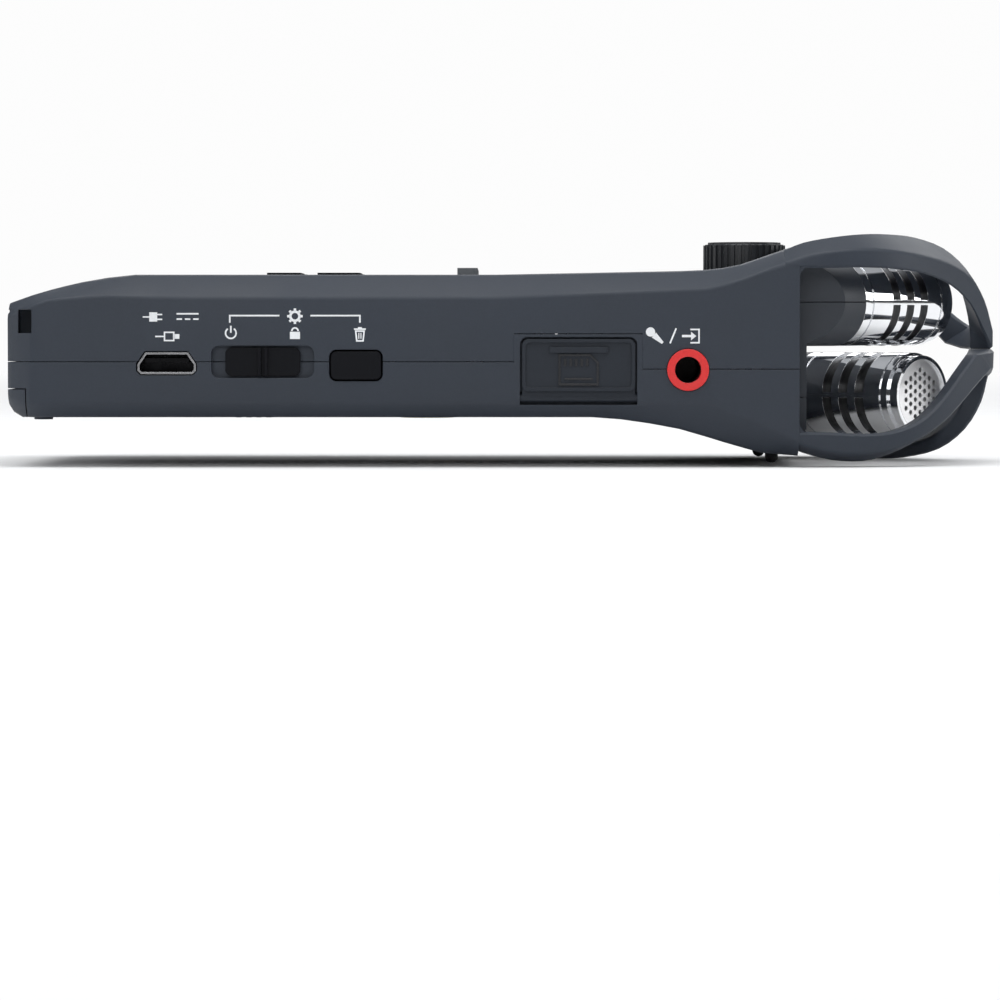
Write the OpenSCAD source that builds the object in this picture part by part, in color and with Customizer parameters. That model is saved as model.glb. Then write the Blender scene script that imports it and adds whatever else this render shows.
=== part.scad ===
// Handheld stereo recorder with two crossed microphones, built as separate pieces.
// Millimetres. x runs from the butt end to the guard tip, y to the output side, z to the display.

/* [Overall] */
// Length from the butt end to the guard tip
body_length = 137.5; // [137:0.5:138]
// Width across the casing
body_width = 50; // [49.5:0.5:51]
// Height across the microphone head
head_height = 32; // [32:0.1:32.2]
// Casing wall thickness
wall = 1.8; // [1.6:0.1:2]

/* [Guard] */
// Start of the open microphone head
head_x = 108.3; // [108:0.1:108.6]
// Gap between the two guard hoops where they meet at the tip
tip_gap = 0.1; // [0.05:0.05:0.2]

/* [Microphones] */
// Outer diameter of a microphone barrel
barrel_d = 12.1; // [11.8:0.1:12.2]
// Length of a microphone barrel
barrel_len = 19.4; // [19:0.1:19.8]
// Height of the crossed barrels above and below the head's middle
barrel_rise = 6.55; // [6.4:0.05:6.7]
// Slot width in a barrel
slot_w = 1.6; // [1.4:0.1:1.8]
// Slot pitch along a barrel
slot_pitch = 3; // [2.8:0.1:3.1]

/* [Dial] */
// Diameter of the level dial
dial_d = 11.6; // [11:0.1:12]
// Height of the dial's top face
dial_top = 31.1; // [30.5:0.1:31.2]
// Number of knurls round the dial
dial_knurls = 36; // [24:1:40]

/* [Controls] */
// Diameter of the record button
record_d = 10.4; // [9.6:0.2:10.6]

/* [Sockets] */
// Bore of each audio socket
jack_bore = 3.6; // [3.5:0.05:3.7]
// Outside diameter of each coloured ring
jack_ring_d = 5.7; // [5.4:0.1:6]
// Bore of the tripod thread
tripod_bore = 6.35; // [6.2:0.05:6.4]

/* [Battery] */
// Diameter of one cell
cell_d = 10.4; // [10.2:0.1:10.5]
// Length of one cell without its tip
cell_len = 43.6; // [43.3:0.1:43.8]

/* [Hidden] */

$fn = 48;
hw = body_width / 2;
mid_z = head_height / 2;
shift_x = -body_length / 2;
plan_power = 2.3;
plan_reach = 29.5;

case_col = [0.25, 0.28, 0.31];
dark_col = [0.08, 0.085, 0.09];
chrome_col = [0.8, 0.82, 0.84];
board_col = [0.08, 0.3, 0.16];
key_col = [0.05, 0.05, 0.055];
grey_col = [0.45, 0.48, 0.5];
metal_col = [0.7, 0.7, 0.72];

// Places of the controls, sockets and inner pieces
key_clear = 0.25;
dial_x = 102.2;
dial_pocket_r = 6.6;
dial_foot = 26.7;
shaft_r = 3;
record_x = 54.7;
key_rows = [37.55, 45.15];
key_depths = [4.7, 5.9];
key_y = 9;
key_wide = 12;
key_top = 26.65;
menu_x = 63;
menu_ys = [-12.9, -4.3, 4.3, 12.9];
menu_size = [2.8, 6.2];
menu_top = 27.3;
board_z = 19.6;
board_t = 1.2;
side_board_z = 11.6;
jack_board_z = 9.3;
input_at = [93.1, 13.3];
output_at = [93.3, 13.4];
proud = 0.3;
jack_y = 22.5;
usb_at = [22.1, 14.2];
slide_x = 35.2;
slide_z = 14.4;
delete_at = [47.9, 13.9];
delete_size = [6.8, 3.8];
volume_z = 16;
volume_xs = [72.25, 79.4];
volume_size = [6.5, 3.8];
card_x = [70.5, 85.9];
card_z = [9.5, 17.5];
hinge_y = -24.2;
hinge_r = 0.6;
cover_len = 52.2;
cover_half = 19.5;
cell_y = 5.7;
cell_z = 14;
tripod_x = 57.2;
tripod_r = 3.85;
screw_at = [[64, 19], [64, -19], [102.5, 19], [102.5, -19]];
speaker_x = 99.4;
speaker_r = 6.4;
grille_at = [127.5, 1];
mic_r = barrel_d / 2;
sleeve_r = 5.25;
grille_r = 5.1;
seam_input = [[-9, 14.4], [69.4, 14.4], [69.4, 18.2], [86.9, 18.2], [86.9, 13.4], [115, 13.4]];
seam_output = [[-9, 14.8], [87.6, 14.8], [89, 13.5], [115, 13.5]];

// Side and plan outline of the casing, as [x, value] pairs
plan_points = [[0, 20.8], [0.7, 21.9], [3.4, 24.4], [4.4, 24.85], [6, 25], [200, 25]];
top_points = [[0, 22.4], [3.4, 23.5], [6.8, 24.5], [10.3, 25.3], [13.8, 25.9], [17.5, 26.3], [67, 26.3],
              [92, 26.8], [97, 27], [101, 27.8], [105, 29.2], [108.3, 30.3], [112, 31.2], [116, 31.8],
              [120.5, 32]];
bottom_points = [[0, 8.4], [0.7, 7.5], [2, 6.8], [80, 6.8], [85.5, 6.4], [92.5, 5.1], [99, 3.1],
                 [103.3, 1.9], [108.3, 1.5], [112, 0.8], [116, 0.2], [120.5, 0]];
upper_edge = [[0, 20.6], [3, 21.9], [6, 22.9], [13, 23.5], [20, 23.2], [67, 23.2], [84, 23.9], [96, 24.4],
              [100, 25.5], [107.5, 28.4], [113, 29.5], [120.5, 30]];
lower_edge = [[0, 9.6], [0.7, 9.2], [2, 8.8], [4, 8.7], [95.5, 8.7], [100.7, 6.8], [106, 4.4],
              [109, 3], [115, 2.2], [120.5, 2]];
top_in = [[0, 2.6], [5, 4.2], [96, 4.2], [108.3, 3.6], [137.5, 3.2]];
bottom_in = [[0, 1.6], [5, 2.2], [96, 2.4], [108.3, 3.2], [137.5, 3.2]];
body_stations = [0, 0.7, 2, 3.4, 4.4, 6, 8, 10.3, 13.8, 17.5, 24, 45, 67, 80, 84, 88, 92, 95.5, 98, 100.7,
                 103.3, 106, 108.3];
cavity_stations = [2, 3.4, 6, 10.3, 17.5, 45, 67, 80, 88, 95.5, 100.7, 106.3];

function curve(u, n) = pow(max(0, 1 - pow(min(1, max(0, u)), n)), 1 / n);
function half_width(x) = (x < head_x ? lookup(x, plan_points)
    : 25 * curve((x - head_x) / plan_reach, plan_power)) * hw / 25;
function corners(x, inset) = let(
    w = half_width(x) - inset,
    zt = lookup(x, top_points) - inset,
    zb = lookup(x, bottom_points) + inset,
    zu = lookup(x, upper_edge) - inset * 0.3,
    zl = lookup(x, lower_edge) + inset * 0.3,
    wt = w - lookup(x, top_in) + inset * 0.4,
    wb = w - lookup(x, bottom_in) + inset * 0.4
  ) [[wb, zb], [w, zl], [w, zu], [wt, zt], [-wt, zt], [-w, zu], [-w, zl], [-wb, zb]];
function toward(a, b, r) = let(d = norm(b - a)) a + (b - a) * min(r / d, 0.3);
function softened(p, r) = [for (i = [0:len(p) - 1]) for (k = [0, 1])
    k == 0 ? toward(p[i], p[(i + len(p) - 1) % len(p)], r) : toward(p[i], p[(i + 1) % len(p)], r)];
function ring3(x, p) = [for (q = p) [x, q[0], q[1]]];

// Joins a list of equal rings of 3-D points into one closed solid
module skin(rings) {
  n = len(rings[0]);
  m = len(rings);
  points = [for (r = rings) for (p = r) p];
  sides = [for (i = [0:m - 2]) for (j = [0:n - 1]) for (k = [0, 1])
    k == 0 ? [i * n + j, (i + 1) * n + j, i * n + (j + 1) % n]
           : [i * n + (j + 1) % n, (i + 1) * n + j, (i + 1) * n + (j + 1) % n]];
  first = [for (j = [0:n - 1]) j];
  last = [for (j = [n - 1:-1:0]) (m - 1) * n + j];
  polyhedron(points = points, faces = concat([first], sides, [last]), convexity = 6);
}

module at_butt() {
  translate([shift_x, 0, 0]) children();
}

module along_y(y0, y1) {
  translate([0, y1, 0]) rotate([90, 0, 0]) linear_extrude(y1 - y0) children();
}

module box(x0, x1, y0, y1, z0, z1) {
  translate([x0, y0, z0]) cube([x1 - x0, y1 - y0, z1 - z0]);
}

module round_rect(x0, x1, y0, y1, r) {
  translate([x0 + r, y0]) square([x1 - x0 - 2 * r, y1 - y0]);
  translate([x0, y0 + r]) square([x1 - x0, y1 - y0 - 2 * r]);
  for (x = [x0 + r, x1 - r]) for (y = [y0 + r, y1 - r]) translate([x, y]) circle(r, $fn = 32);
}

module casing_skin() {
  skin([for (x = body_stations) ring3(x, softened(corners(x, 0), 0.45))]);
}

module casing_cavity() {
  skin([for (x = cavity_stations) ring3(x, corners(x, wall))]);
}

// Hoop of the guard, from the input-side shoulder round the tip and back by a straighter arm. Each row of
// the first strap holds its outer bottom, inner bottom, ridge and outer top corner.
strap_rows = [
  [[106.3, -24.97, 27.1], [106.3, -20.5, 27.3], [106.3, -21.4, 29.75], [106.3, -24.97, 27.9]],
  [[109, -24.98, 27.1], [109, -20.5, 27.4], [109, -21.2, 30.85], [109, -24.98, 28.8]],
  [[113, -24.3, 27.1], [113, -19.8, 28], [113, -20.4, 31.6], [113, -24.2, 29.5]],
  [[117.5, -22.8, 27.1], [117.2, -17.6, 29.3], [117.2, -17.9, 32.05], [117.5, -22.6, 29.8]],
  [[122, -20.3, 26.9], [121, -13, 30.1], [121.3, -13, 32.12], [122, -20, 29.5]],
  [[126.3, -16, 26.3], [125, -7.2, 30], [125.6, -7.1, 31.8], [126, -15.8, 29]],
  [[130.5, -10.5, 24.8], [129.3, -2.2, 28.5], [130.2, -2, 30.4], [130.2, -10.6, 28]],
  [[133.7, -6.2, 22.2], [132.5, -0.4, 25.2], [133.7, 0, 27.5], [133.9, -4.8, 26.2]],
  [[135.6, -4, 19], [133.8, -0.2, 20.8], [136, 0.2, 23.6], [136.2, -2.2, 22.8]],
  [[137.2, -2.8, 16], [134, -1.2, 16], [136.9, -0.7, 20], [137.4, -1.6, 19]]
];
arm_points = [[136.3, 18.8, 133.6, 16.6], [134.2, 20.5, 131.4, 19.2], [131.7, 23, 129.3, 21.8],
              [128.8, 25.8, 127, 24.2], [125.4, 28, 124.4, 26], [121.6, 29.4, 121, 27.1],
              [117.4, 30.1, 117, 27.4], [113, 29.9, 112.6, 27.2], [108.9, 28.9, 108.9, 27.1],
              [106.3, 27.9, 106.3, 27.1]];
function tuck(x) = max(0, min(0.12, (108.8 - x) * 0.06));
function softer(p, r) = [for (i = [0:3]) for (k = [0, 1])
    let(q = k == 0 ? p[(i + 3) % 4] : p[(i + 1) % 4]) p[i] + (q - p[i]) * min(0.3, r / norm(q - p[i]))];
function smooth_at(p, i, f) = let(
    n = len(p) - 1,
    a = p[max(0, i - 1)],
    b = p[i],
    c = p[min(n, i + 1)],
    d = p[min(n, i + 2)]
  ) 0.5 * (2 * b + (c - a) * f + (2 * a - 5 * b + 4 * c - d) * f * f + (3 * b - a - 3 * c + d) * f * f * f);
function arm_ring(q) = let(
    s = tuck(q[2]),
    k = max(0, min(1, (q[2] - 108.3) / 25)),
    lift = q[2] < 118 ? min(1.3, lookup(q[2], top_points) - q[1] - 0.02)
        : max(0.4, 1.3 - 0.12 * (q[2] - 118))
  ) [[q[2] - 1.6 * k, half_width(q[2]) * (0.8 + 0.07 * k), q[3] + 0.2],
     [q[2], half_width(q[2]) - s, q[3]],
     [q[0], half_width(q[0]) - s, q[1] - s],
     [q[0] - k, half_width(q[0]) * (0.855 + 0.05 * k), q[1] + lift - s]];
tip_rings = [
  [[137.5, -0.8, mid_z], [134, -0.4, mid_z], [137, -0.4, 19.7], [137.5, -0.8, 18.8]],
  [[137.5, 2.2, mid_z], [133.9, 2, mid_z], [136.7, 2, 19.8], [137.4, 2.2, 18.8]],
  [[137, 5.6, mid_z + 0.1], [133.2, 5, mid_z + 0.1], [136.2, 5, 20], [137, 5.6, 19]]
];
module guard_hoop() {
  skin(concat(
    [for (i = [0:len(strap_rows) - 2]) for (f = [0, 0.34, 0.67])
      softer(smooth_at(strap_rows, i, f), 0.4)],
    [softer(strap_rows[len(strap_rows) - 1], 0.4)],
    [for (r = tip_rings) softer(r, 0.4)],
    [for (f = [0.2, 0.4, 0.6, 0.8]) let(
      a = tip_rings[len(tip_rings) - 1],
      r = arm_ring(arm_points[0]),
      b = [r[1], r[0], r[3], r[2]]
    ) softer(a + (b - a) * f, 0.4)],
    [for (i = [0:len(arm_points) - 2]) for (f = [0, 0.34, 0.67])
      let(r = arm_ring(smooth_at(arm_points, i, f))) softer([r[1], r[0], r[3], r[2]], 0.4)],
    [let(r = arm_ring(arm_points[len(arm_points) - 1])) softer([r[1], r[0], r[3], r[2]], 0.4)]
  ));
}

// Small rounded corners where the two side windows of the head meet the casing
module window_corners() {
  for (y = [-24.8, 22.6]) along_y(y, y + 2.2) translate([head_x - 0.2, 25.7]) difference() {
    square([1.8, 1.8]);
    translate([1.8, 0]) circle(1.65);
  }
}

module flipped_head() {
  translate([0, 0, head_height]) rotate([180, 0, 0]) children();
}

// Everything under the joint between the two casings, with the groove between them
module under_seam(lift) {
  along_y(-40, 0) polygon(concat([for (p = seam_input) [p[0], p[1] + lift]],
    [[115, mid_z + lift * 0.3], [150, mid_z + lift * 0.3], [150, -20], [-9, -20]]));
  along_y(0, 40) polygon(concat([for (p = seam_output) [p[0], p[1] + lift]],
    [[115, mid_z + lift * 0.3], [150, mid_z + lift * 0.3], [150, -20], [-9, -20]]));
}

module dial_puck() {
  translate([dial_x, 0, 24.4]) cylinder(r = 8.2, h = 10);
}

module strap_block() {
  box(-1, 6.4, -30, -15.5, 16.6, 23.2);
}

module strap_hole() {
  box(1.7, 3.7, -27, -18.5, 18.3, 21.5);
  box(-2, 3.7, -20.4, -18.5, 18.3, 21.5);
}

module socket_cuts() {
  // Level with both casings: socket mouths and side controls
  for (p = [[input_at, -1], [output_at, 1]])
    translate([p[0][0], p[1] * 24, p[0][1]]) rotate([90, 0, 0])
      cylinder(d = jack_ring_d + 0.1, h = 5, center = true);
  along_y(-27, -21) translate([usb_at[0], usb_at[1]]) usb_outline(0.15);
  along_y(-27, -24.05) round_rect(slide_x - 7, slide_x + 7, slide_z - 2.2, slide_z + 2.2, 1.1);
  box(slide_x - 3.9, slide_x + 3.9, -26, -22, slide_z - 1, slide_z + 1);
  along_y(-27, -22) round_rect(delete_at[0] - delete_size[0] / 2 - key_clear,
    delete_at[0] + delete_size[0] / 2 + key_clear, delete_at[1] - delete_size[1] / 2 - key_clear,
    delete_at[1] + delete_size[1] / 2 + key_clear, 1);
  along_y(22, 27) round_rect(volume_xs[0] - volume_size[0] / 2 - key_clear,
    volume_xs[1] + volume_size[0] / 2 + key_clear, volume_z - volume_size[1] / 2 - key_clear,
    volume_z + volume_size[1] / 2 + key_clear, 0.9);
  along_y(-27, -23.8) round_rect(card_x[0] - 0.25, card_x[1] + 0.25, card_z[0] - 0.9, card_z[1] + 0.25, 1);
  box(card_x[0] - 0.3, card_x[1] + 0.3, -27, -23.45, card_z[0] - 0.95, card_z[0] + 0.75);
  box(card_x[0] + 2, card_x[1] - 2, -27, -22, 11.4, 15.4);
  translate([card_x[0] - 0.9, hinge_y, card_z[0]]) rotate([0, 90, 0])
    cylinder(r = hinge_r + 0.06, h = card_x[1] - card_x[0] + 1.8);
}

module usb_outline(grow) {
  offset(delta = grow) polygon([[-3.5, -1.5], [3.5, -1.5], [4, -1], [4, -0.1], [2.9, 1.5], [-2.9, 1.5],
    [-4, -0.1], [-4, -1]]);
}

module top_key_hole(x, y, dx, dy) {
  translate([0, 0, 20]) linear_extrude(12)
    round_rect(x - dx / 2 - key_clear, x + dx / 2 + key_clear, y - dy / 2 - key_clear,
      y + dy / 2 + key_clear, 0.9);
}

module upper_casing() at_butt() {
  color(case_col) difference() {
    union() {
      difference() {
        casing_skin();
        difference() {
          casing_cavity();
          dial_puck();
          strap_block();
        }
      }
      guard_hoop();
      window_corners();
      for (p = screw_at) translate([p[0], p[1], 13]) cylinder(r = 2.3, h = p[0] > 90 ? 14.2 : 12);
    }
    under_seam(tip_gap / 2);
    socket_cuts();
    strap_hole();
    translate([dial_x, 0, dial_foot - 0.3]) cylinder(r = dial_pocket_r, h = 10);
    translate([dial_x, 0, 20]) cylinder(r = shaft_r + 0.3, h = 10);
    for (i = [0, 1]) for (s = [-1, 1]) top_key_hole(key_rows[i], s * key_y, key_depths[i], key_wide);
    for (y = menu_ys) top_key_hole(menu_x, y, menu_size[0], menu_size[1]);
    translate([record_x, 0, 20]) cylinder(d = record_d + 2 * key_clear, h = 12);
    translate([0, 0, 25.2]) linear_extrude(6) round_rect(66.6, 94.4, -18.2, 18.2, 1.5);
    translate([0, 0, 20]) linear_extrude(12) round_rect(70, 91, -14, 14, 1);
    for (p = screw_at) translate([p[0], p[1], 10]) cylinder(r = 1, h = 12);
    for (s = [-1, 1]) translate([105, s * 18.5, 22.5]) rotate([0, 90, 0]) cylinder(r = 1.5, h = 6);
  }
}

module cover_room(grow) {
  box(-5, cover_len + grow, -cover_half - grow, cover_half + grow, -5, 8.6 + grow);
  box(-5, 2.7 + grow, -30, 30, -5, 10.6 + grow);
}

module lower_casing() at_butt() {
  color(case_col) difference() {
    union() {
      difference() {
        intersection() {
          casing_skin();
          under_seam(-tip_gap / 2);
        }
        difference() {
          casing_cavity();
          box(-1, 52.2, -12.7, 12.7, 0, 20);
          translate([tripod_x, 0, 0]) cylinder(r = 5.4, h = 12.9);
          for (p = screw_at) translate([p[0], p[1], 0]) cylinder(r = 2.9, h = 12.9);
        }
      }
      flipped_head() intersection() {
        union() {
          guard_hoop();
          window_corners();
        }
        box(100, 140, -30, 30, mid_z + tip_gap * 0.15, 40);
      }
      box(3, 52.2, -12.7, -11.5, 8.9, 18.9);
      box(3, 52.2, 11.5, 12.7, 8.9, 18.9);
      box(50.9, 52.2, -12.7, 12.7, 8.9, 18.9);
    }
    box(2, 50.9, -11.5, 11.5, 8, 30);
    socket_cuts();
    cover_room(0.15);
    translate([tripod_x, 0, 0]) cylinder(r = tripod_r, h = 12.3);
    for (p = screw_at) translate([p[0], p[1], 0]) {
      cylinder(r = 1.1, h = 30);
      cylinder(r = 2, h = 9.6);
    }
    for (i = [-2:2]) translate([speaker_x + i * 2, 0, 0]) box(-0.5, 0.5, -4.5, 4.5, 0, 6.85);
    for (s = [-1, 1]) translate([105.2, s * 14, 0]) cylinder(r = 0.95, h = 2.5);
    for (s = [-1, 1]) translate([105, s * 18.5, 9.5]) rotate([0, 90, 0]) cylinder(r = 1.5, h = 6);
  }
}

module battery_cover() at_butt() {
  color(case_col) {
    difference() {
      intersection() {
        casing_skin();
        cover_room(0);
      }
      box(1.9, 60, -cover_half, cover_half, 8.6, 12);
      box(2.7, 60, cover_half, 30, 0, 12);
      box(2.7, 60, -30, -cover_half, 0, 12);
    }
    for (x = [30.8, 32.2, 33.6, 35]) box(x - 0.35, x + 0.35, -8, 8, 6.45, 7);
    box(37.6, 40.2, -3, 3, 6.4, 7);
    for (s = [-1, 1]) translate([3.9, s * 12, 6.3]) cylinder(r = 1.3, h = 0.8);
  }
}

module card_cover() at_butt() {
  color(case_col) {
    translate([card_x[0] - 0.65, hinge_y, card_z[0]]) rotate([0, 90, 0])
      cylinder(r = hinge_r, h = card_x[1] - card_x[0] + 1.3);
    along_y(-25, -23.95) round_rect(card_x[0], card_x[1], card_z[0] + 0.9, card_z[1], 0.9);
    along_y(-24.75, -23.95) round_rect(card_x[0], card_x[1], card_z[0], card_z[1] - 2, 0.3);
    along_y(-25.25, -24.9) difference() {
      round_rect(card_x[0], card_x[1], card_z[0] + 0.9, card_z[1], 0.9);
      round_rect(card_x[0] + 0.5, card_x[1] - 0.5, card_z[0] + 1.4, card_z[1] - 0.5, 0.6);
    }
    box(card_x[0] + 3.7, card_x[1] - 3.7, -25.3, -24.9, card_z[1] - 1.9, card_z[1] - 1.1);
  }
}

module display_window() at_butt() {
  color([0.1, 0.12, 0.14, 0.5]) intersection() {
    translate([0, 0, -0.1]) casing_skin();
    translate([0, 0, 25.2]) linear_extrude(6) round_rect(66.75, 94.25, -18.05, 18.05, 1.4);
  }
}

module display_module() at_butt() {
  color([0.5, 0.56, 0.5]) box(69.2, 91.8, -15.4, 15.4, 21.9, 24);
}

module display_frame() at_butt() {
  color(dark_col) difference() {
    box(67.6, 93.4, -17, 17, board_z + board_t, 24.3);
    box(69.1, 91.9, -15.5, 15.5, 21.8, 30);
  }
}

module main_board() at_butt() {
  color(board_col) translate([0, 0, board_z]) linear_extrude(board_t) difference() {
    union() {
      translate([7, -21.5]) square([98.5, 43]);
      translate([3.5, -14.5]) square([5, 29]);
    }
    for (p = screw_at) translate([p[0], p[1]]) circle(2.8);
    for (y = [-25, 16]) translate([99.5, y]) square([10, 9]);
  }
}

module board_chips() at_butt() {
  color(dark_col) {
    box(20, 27, -6, 1, board_z + board_t, board_z + board_t + 1);
    box(12, 17, 4, 12, board_z + board_t, board_z + board_t + 0.9);
    box(84, 91, -4, 3, board_z - 1.2, board_z);
    box(70, 78, -8, 4, board_z - 1.1, board_z);
    box(26, 30, 8, 13, board_z + board_t, board_z + board_t + 1.4);
  }
}

module side_board() at_butt() {
  color(board_col) box(15, 53, -21.6, -12.9, side_board_z, side_board_z + 1);
}

module jack_board() at_butt() {
  color(board_col) translate([0, 0, jack_board_z]) linear_extrude(1) difference() {
    translate([67.4, -21.5]) square([38, 43]);
    for (y = [-25, 15.6]) translate([99.1, y]) square([10, 9.4]);
  }
}

module level_dial() at_butt() {
  color(key_col) translate([dial_x, 0, dial_foot]) difference() {
    union() {
      cylinder(d = dial_d - 0.5, h = dial_top - dial_foot - 0.3);
      cylinder(d = dial_d - 1.3, h = dial_top - dial_foot);
      for (i = [0:dial_knurls - 1]) rotate([0, 0, i * 360 / dial_knurls])
        translate([dial_d / 2 - 0.6, -0.27, 0.3]) cube([0.6, 0.54, dial_top - dial_foot - 0.7]);
    }
    translate([0, 0, -1]) cylinder(r = shaft_r, h = 3.6);
    translate([0, 0, dial_top - dial_foot - 0.3]) cylinder(r = 3.9, h = 1);
    translate([3.1, -0.3, dial_top - dial_foot - 0.3]) cube([3, 0.6, 1]);
  }
}

module dial_shaft() at_butt() {
  color(metal_col) translate([dial_x, 0, 21.5]) cylinder(r = shaft_r, h = dial_foot + 2.6 - 21.5);
}

module level_pot() at_butt() {
  color(metal_col) difference() {
    box(dial_x - 4.2, dial_x + 4.05, -5, 5, board_z + board_t, 24.2);
    translate([dial_x, 0, 21.2]) cylinder(r = shaft_r + 0.06, h = 10);
  }
}

module top_key(x, y, dx, dy, top) {
  translate([0, 0, 24]) linear_extrude(top - 24)
    round_rect(x - dx / 2, x + dx / 2, y - dy / 2, y + dy / 2, 0.65);
  translate([0, 0, 23.6]) linear_extrude(0.5)
    round_rect(x - dx / 2 - 0.4, x + dx / 2 + 0.4, y - dy / 2 - 0.35, y + dy / 2 + 0.35, 0.5);
  translate([x, y, 22.4]) cylinder(r = 1, h = 1.4);
}

module record_button() at_butt() {
  color(key_col) translate([record_x, 0, 0]) {
    difference() {
      translate([0, 0, 24]) cylinder(d = record_d, h = 2.3);
      translate([0, 0, 38.2]) sphere(12.2, $fn = 64);
    }
    translate([0, 0, 23.6]) cylinder(d = record_d + 1, h = 0.5);
    translate([0, 0, 22.4]) cylinder(r = 1.5, h = 1.4);
  }
}

module stop_button() at_butt() {
  color(key_col) top_key(key_rows[1], -key_y, key_depths[1], key_wide, key_top);
}

module play_button() at_butt() {
  color(key_col) top_key(key_rows[1], key_y, key_depths[1], key_wide, key_top);
}

module rewind_button() at_butt() {
  color(key_col) top_key(key_rows[0], -key_y, key_depths[0], key_wide, key_top);
}

module forward_button() at_butt() {
  color(key_col) top_key(key_rows[0], key_y, key_depths[0], key_wide, key_top);
}

module menu_button(i) {
  color(grey_col) top_key(menu_x, menu_ys[i], menu_size[0], menu_size[1], menu_top);
}

module tact_switches() at_butt() {
  spots = concat([for (x = key_rows) for (s = [-1, 1]) [x, s * key_y]], [for (y = menu_ys) [menu_x, y]],
    [[record_x, 0]]);
  color(metal_col) for (p = spots) translate([p[0], p[1], board_z + board_t]) {
    translate([-1.5, -1.5, 0]) cube([3, 3, 0.5]);
    cylinder(r = 0.8, h = 0.8);
  }
}

module side_tacts() at_butt() {
  color(metal_col) {
    box(delete_at[0] - 2, delete_at[0] + 2, -21.3, -18.5, side_board_z + 1, 15.3);
    translate([delete_at[0], -21.6, delete_at[1]]) rotate([-90, 0, 0]) cylinder(r = 0.8, h = 1);
    for (x = volume_xs) {
      box(x - 2, x + 2, 18.5, 21.3, 14.4, board_z);
      translate([x, 20.6, volume_z]) rotate([-90, 0, 0]) cylinder(r = 0.8, h = 1);
    }
  }
}

module slide_knob() at_butt() {
  color(key_col) {
    along_y(-24.7, -24.25) round_rect(slide_x - 5.1, slide_x + 5.1, slide_z - 1.95, slide_z + 1.95, 0.9);
    for (x = [slide_x - 0.45, slide_x + 0.45])
      box(x - 0.2, x + 0.2, -25.2, -24.5, slide_z - 1.9, slide_z + 1.9);
    box(slide_x - 1.8, slide_x + 1.8, -24.4, -22.5, slide_z - 0.75, slide_z + 0.75);
  }
}

module slide_switch() at_butt() {
  color(metal_col) box(slide_x - 4.5, slide_x + 4.5, -22.2, -18.8, side_board_z + 1, 16.2);
}

module side_key(x, z, size, side) {
  y0 = side > 0 ? 22.9 : -25.2;
  along_y(y0, y0 + 2.3) round_rect(x - size[0] / 2, x + size[0] / 2, z - size[1] / 2, z + size[1] / 2, 0.75);
  f0 = side > 0 ? 22.5 : -22.95;
  along_y(f0, f0 + 0.45) round_rect(x - size[0] / 2 - 0.25, x + size[0] / 2 + 0.25,
    z - size[1] / 2 - 0.4, z + size[1] / 2 + 0.4, 0.5);
}

module delete_button() at_butt() {
  color(key_col) side_key(delete_at[0], delete_at[1], delete_size, -1);
}

module volume_up() at_butt() {
  color(key_col) {
    side_key(volume_xs[1], volume_z, volume_size, 1);
    box(volume_xs[1] - 1.3, volume_xs[1] + 1.3, 25.1, 25.3, volume_z - 0.2, volume_z + 0.2);
    box(volume_xs[1] - 0.2, volume_xs[1] + 0.2, 25.1, 25.3, volume_z - 1.3, volume_z + 1.3);
  }
}

module volume_down() at_butt() {
  color(key_col) {
    side_key(volume_xs[0], volume_z, volume_size, 1);
    box(volume_xs[0] - 1.3, volume_xs[0] + 1.3, 25.1, 25.3, volume_z - 0.2, volume_z + 0.2);
  }
}

module card_socket() at_butt() {
  color(metal_col) difference() {
    union() {
      box(72, 84.5, -22.9, -9, 12.2, 14.3);
      for (x = [72, 83.5]) for (y = [-21, -10]) box(x, x + 1, y, y + 1, jack_board_z + 1, 12.3);
    }
    box(72.6, 83.9, -30, -10, 12.7, 13.9);
  }
}

module usb_socket() at_butt() {
  color(metal_col) {
    translate([usb_at[0], 0, usb_at[1]]) along_y(-24.6, -19) difference() {
      usb_outline(0);
      usb_outline(-0.3);
    }
    translate([usb_at[0], 0, usb_at[1]]) along_y(-19.4, -19) usb_outline(0);
    box(usb_at[0] - 3, usb_at[0] + 3, -23.6, -19.2, 14.3, 14.9);
  }
}

module jack_body(side, at) {
  color(dark_col) difference() {
    union() {
      translate([at[0] - 3, side > 0 ? 10.5 : -jack_y, at[1] - 3]) cube([6, jack_y - 10.5, 6]);
      translate([at[0] - 3, side > 0 ? 12 : -21, jack_board_z + 1]) cube([6, 9, at[1] - jack_board_z - 3]);
    }
    translate([at[0], side * 17, at[1]]) rotate([90, 0, 0]) cylinder(d = jack_bore, h = 11.1, center = true);
  }
}

module jack_ring(side, at, tint) {
  color(tint) translate([at[0], side * (jack_y + 0.05), at[1]]) rotate([side > 0 ? -90 : 90, 0, 0])
    difference() {
      cylinder(d = jack_ring_d, h = 25 + proud - jack_y - 0.05);
      translate([0, 0, -1]) cylinder(d = jack_bore, h = 9);
    }
}

module input_jack() at_butt() {
  jack_body(-1, input_at);
}

module output_jack() at_butt() {
  jack_body(1, output_at);
}

module input_ring() at_butt() {
  jack_ring(-1, input_at, [0.85, 0.12, 0.08]);
}

module output_ring() at_butt() {
  jack_ring(1, output_at, [0.05, 0.6, 0.5]);
}

// Stands its children on the upper microphone's axis, with the grille's face at height 0
module on_mic_axis() {
  translate([grille_at[0], grille_at[1], mid_z + barrel_rise]) rotate([0, 0, 45]) rotate([0, 90, 0])
    children();
}

module ring_band(outer, inner, z0, z1) {
  translate([0, 0, z0]) difference() {
    cylinder(r = outer, h = z1 - z0);
    translate([0, 0, -1]) cylinder(r = inner, h = z1 - z0 + 2);
  }
}

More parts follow.
